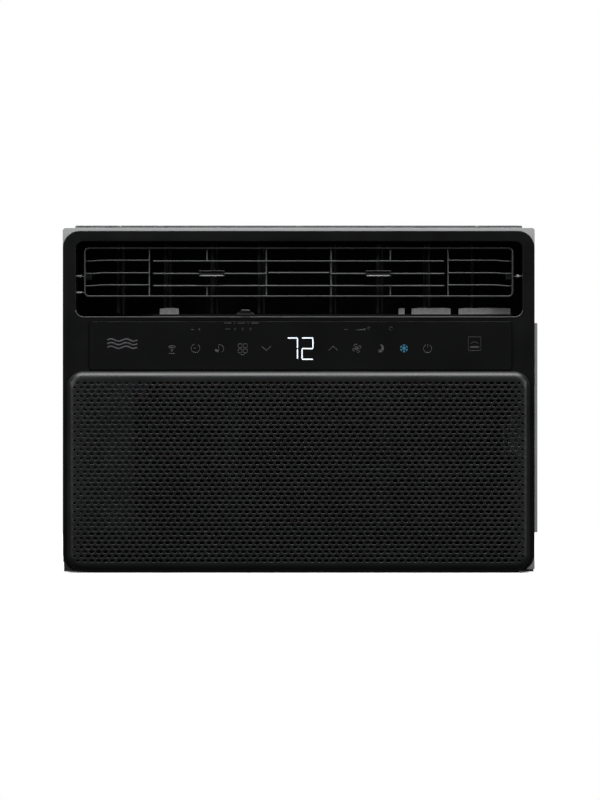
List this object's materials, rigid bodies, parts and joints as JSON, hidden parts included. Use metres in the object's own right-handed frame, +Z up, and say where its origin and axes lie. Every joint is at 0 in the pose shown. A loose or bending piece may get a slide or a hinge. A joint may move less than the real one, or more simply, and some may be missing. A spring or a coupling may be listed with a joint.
{
  "type": "window air conditioner",
  "caption": "Black-fronted window air conditioner with tilting louver, vane sliders, vent lever, side-sliding filter and a grey sheet-metal case full of its cooling parts.",
  "frame": {"origin": "on the base pan's underside, under the middle of the case", "axes": "+X to the right seen from the room, -Y out of the front grille into the room, +Z up"},
  "size_m": [0.477, 0.4, 0.3484],
  "materials": {
    "dark_paint": "satin",
    "grey_paint": "satin",
    "black_plastic": "satin",
    "gloss_black": "gloss",
    "display_light": "lit",
    "light_foam": "matte",
    "dark_plastic": "matte",
    "galvanised": "spangled",
    "fin_aluminium": "thin sheet",
    "copper": "drawn tube",
    "compressor_paint": "satin",
    "rubber": "matte",
    "zinc_steel": "bright",
    "board_green": "satin",
    "filter_net": "woven",
    "grey_plastic": "satin"
  },
  "bodies": {
    "case": {"base_pan": "dark_paint", "drain_spigot": "dark_plastic", "cabinet": "grey_paint", "top_rail": "dark_paint", "rear_grille": "dark_paint", "front_bezel": "black_plastic", "intake_grille": "black_plastic", "grille_rim": "black_plastic", "control_fascia": "gloss_black", "display_board": "display_light", "outlet_duct": "dark_plastic", "scroll_housing": "dark_plastic", "bulkhead": "galvanised", "drain_tray": "dark_plastic", "fan_shroud": "dark_paint", "fan_motor": "galvanised", "motor_bracket": "galvanised", "evaporator_fins": "fin_aluminium", "evaporator_tubes": "copper", "condenser_fins": "fin_aluminium", "condenser_tubes": "copper", "compressor_shell": "compressor_paint", "terminal_cover": "dark_plastic", "compressor_feet": "rubber", "compressor_bolts": "zinc_steel", "accumulator": "compressor_paint", "discharge_pipe": "copper", "suction_pipe": "copper", "capillary_tube": "copper", "filter_drier": "copper", "control_box": "galvanised", "control_board": "board_green", "run_capacitor": "zinc_steel", "room_sensor": "dark_plastic", "cord_gland": "rubber", "case_screws": "zinc_steel"},
    "louver": {"louver_frame": "black_plastic", "louver_blades": "black_plastic", "louver_pins": "zinc_steel"},
    "slider_left": {"vane_slider_left": "black_plastic"},
    "slider_right": {"vane_slider_right": "black_plastic"},
    "vane_left_1": {"vane_left_1": "dark_plastic"},
    "vane_left_2": {"vane_left_2": "dark_plastic"},
    "vane_left_3": {"vane_left_3": "dark_plastic"},
    "vane_left_4": {"vane_left_4": "dark_plastic"},
    "vane_link_left": {"vane_link_left": "dark_plastic"},
    "vane_right_1": {"vane_right_1": "dark_plastic"},
    "vane_right_2": {"vane_right_2": "dark_plastic"},
    "vane_right_3": {"vane_right_3": "dark_plastic"},
    "vane_right_4": {"vane_right_4": "dark_plastic"},
    "vane_link_right": {"vane_link_right": "dark_plastic"},
    "vent_control": {"vent_lever": "black_plastic", "vent_link": "zinc_steel"},
    "vent_door": {"vent_door": "dark_plastic"},
    "fan_rotor": {"motor_shaft": "zinc_steel", "blower_wheel": "dark_plastic", "condenser_fan": "dark_plastic"},
    "filter": {"filter_frame": "dark_plastic", "filter_mesh": "filter_net", "filter_tab": "grey_plastic"}
  },
  "joints": [
    {"name": "louver_tilt", "type": "hinge", "parent": "case", "child": "louver", "pos_m": [0, -0.176, 0.2955], "axis": [1, 0, 0], "range_deg": [-18, 18]},
    {"name": "slider_left", "type": "slide", "parent": "louver", "child": "slider_left", "axis": [1, 0, 0], "range_m": [-0.0073, 0.0147]},
    {"name": "slider_right", "type": "slide", "parent": "louver", "child": "slider_right", "axis": [1, 0, 0], "range_m": [-0.0073, 0.0147]},
    {"name": "vane_left_1_turn", "type": "hinge", "parent": "case", "child": "vane_left_1", "pos_m": [-0.036, -0.134, 0.2925], "axis": [0, 0, 1], "range_deg": [-23.3, 46.8]},
    {"name": "vane_left_2_turn", "type": "hinge", "parent": "case", "child": "vane_left_2", "pos_m": [-0.083, -0.134, 0.2925], "axis": [0, 0, 1], "range_deg": [-23.3, 46.8]},
    {"name": "vane_left_3_turn", "type": "hinge", "parent": "case", "child": "vane_left_3", "pos_m": [-0.13, -0.134, 0.2925], "axis": [0, 0, 1], "range_deg": [-23.3, 46.8]},
    {"name": "vane_left_4_turn", "type": "hinge", "parent": "case", "child": "vane_left_4", "pos_m": [-0.177, -0.134, 0.2925], "axis": [0, 0, 1], "range_deg": [-23.3, 46.8]},
    {"name": "vane_link_left_slide", "type": "slide", "parent": "case", "child": "vane_link_left", "axis": [1, 0, 0], "range_m": [-0.0077, 0.0039]},
    {"name": "vane_right_1_turn", "type": "hinge", "parent": "case", "child": "vane_right_1", "pos_m": [0.036, -0.134, 0.2925], "axis": [0, 0, 1], "range_deg": [-23.3, 46.8]},
    {"name": "vane_right_2_turn", "type": "hinge", "parent": "case", "child": "vane_right_2", "pos_m": [0.083, -0.134, 0.2925], "axis": [0, 0, 1], "range_deg": [-23.3, 46.8]},
    {"name": "vane_right_3_turn", "type": "hinge", "parent": "case", "child": "vane_right_3", "pos_m": [0.13, -0.134, 0.2925], "axis": [0, 0, 1], "range_deg": [-23.3, 46.8]},
    {"name": "vane_right_4_turn", "type": "hinge", "parent": "case", "child": "vane_right_4", "pos_m": [0.177, -0.134, 0.2925], "axis": [0, 0, 1], "range_deg": [-23.3, 46.8]},
    {"name": "vane_link_right_slide", "type": "slide", "parent": "case", "child": "vane_link_right", "axis": [1, 0, 0], "range_m": [-0.0077, 0.0039]},
    {"name": "vent_slide", "type": "slide", "parent": "case", "child": "vent_control", "axis": [1, 0, 0], "range_m": [-0.01, 0.01]},
    {"name": "vent_door_swing", "type": "hinge", "parent": "case", "child": "vent_door", "pos_m": [-0.212, -0.041, 0.232], "axis": [0, 0, 1], "range_deg": [-21.85, 21.85]},
    {"name": "fan_spin", "type": "hinge", "parent": "case", "child": "fan_rotor", "pos_m": [0.017, 0, 0.132], "axis": [0, 1, 0], "continuous": true},
    {"name": "filter_slide", "type": "slide", "parent": "case", "child": "filter", "axis": [1, 0, 0], "range_m": [0, 0.395]}
  ],
  "couplings": [
    {"joint": "vane_left_1_turn", "follows": "slider_left", "rad_per_m": 55.533},
    {"joint": "vane_left_2_turn", "follows": "slider_left", "rad_per_m": 55.533},
    {"joint": "vane_left_3_turn", "follows": "slider_left", "rad_per_m": 55.533},
    {"joint": "vane_left_4_turn", "follows": "slider_left", "rad_per_m": 55.533},
    {"joint": "vane_link_left_slide", "follows": "slider_left", "ratio": -0.5215},
    {"joint": "vane_right_1_turn", "follows": "slider_right", "rad_per_m": 55.533},
    {"joint": "vane_right_2_turn", "follows": "slider_right", "rad_per_m": 55.533},
    {"joint": "vane_right_3_turn", "follows": "slider_right", "rad_per_m": 55.533},
    {"joint": "vane_right_4_turn", "follows": "slider_right", "rad_per_m": 55.533},
    {"joint": "vane_link_right_slide", "follows": "slider_right", "ratio": -0.5215},
    {"joint": "vent_door_swing", "follows": "vent_slide", "rad_per_m": 38.04}
  ]
}
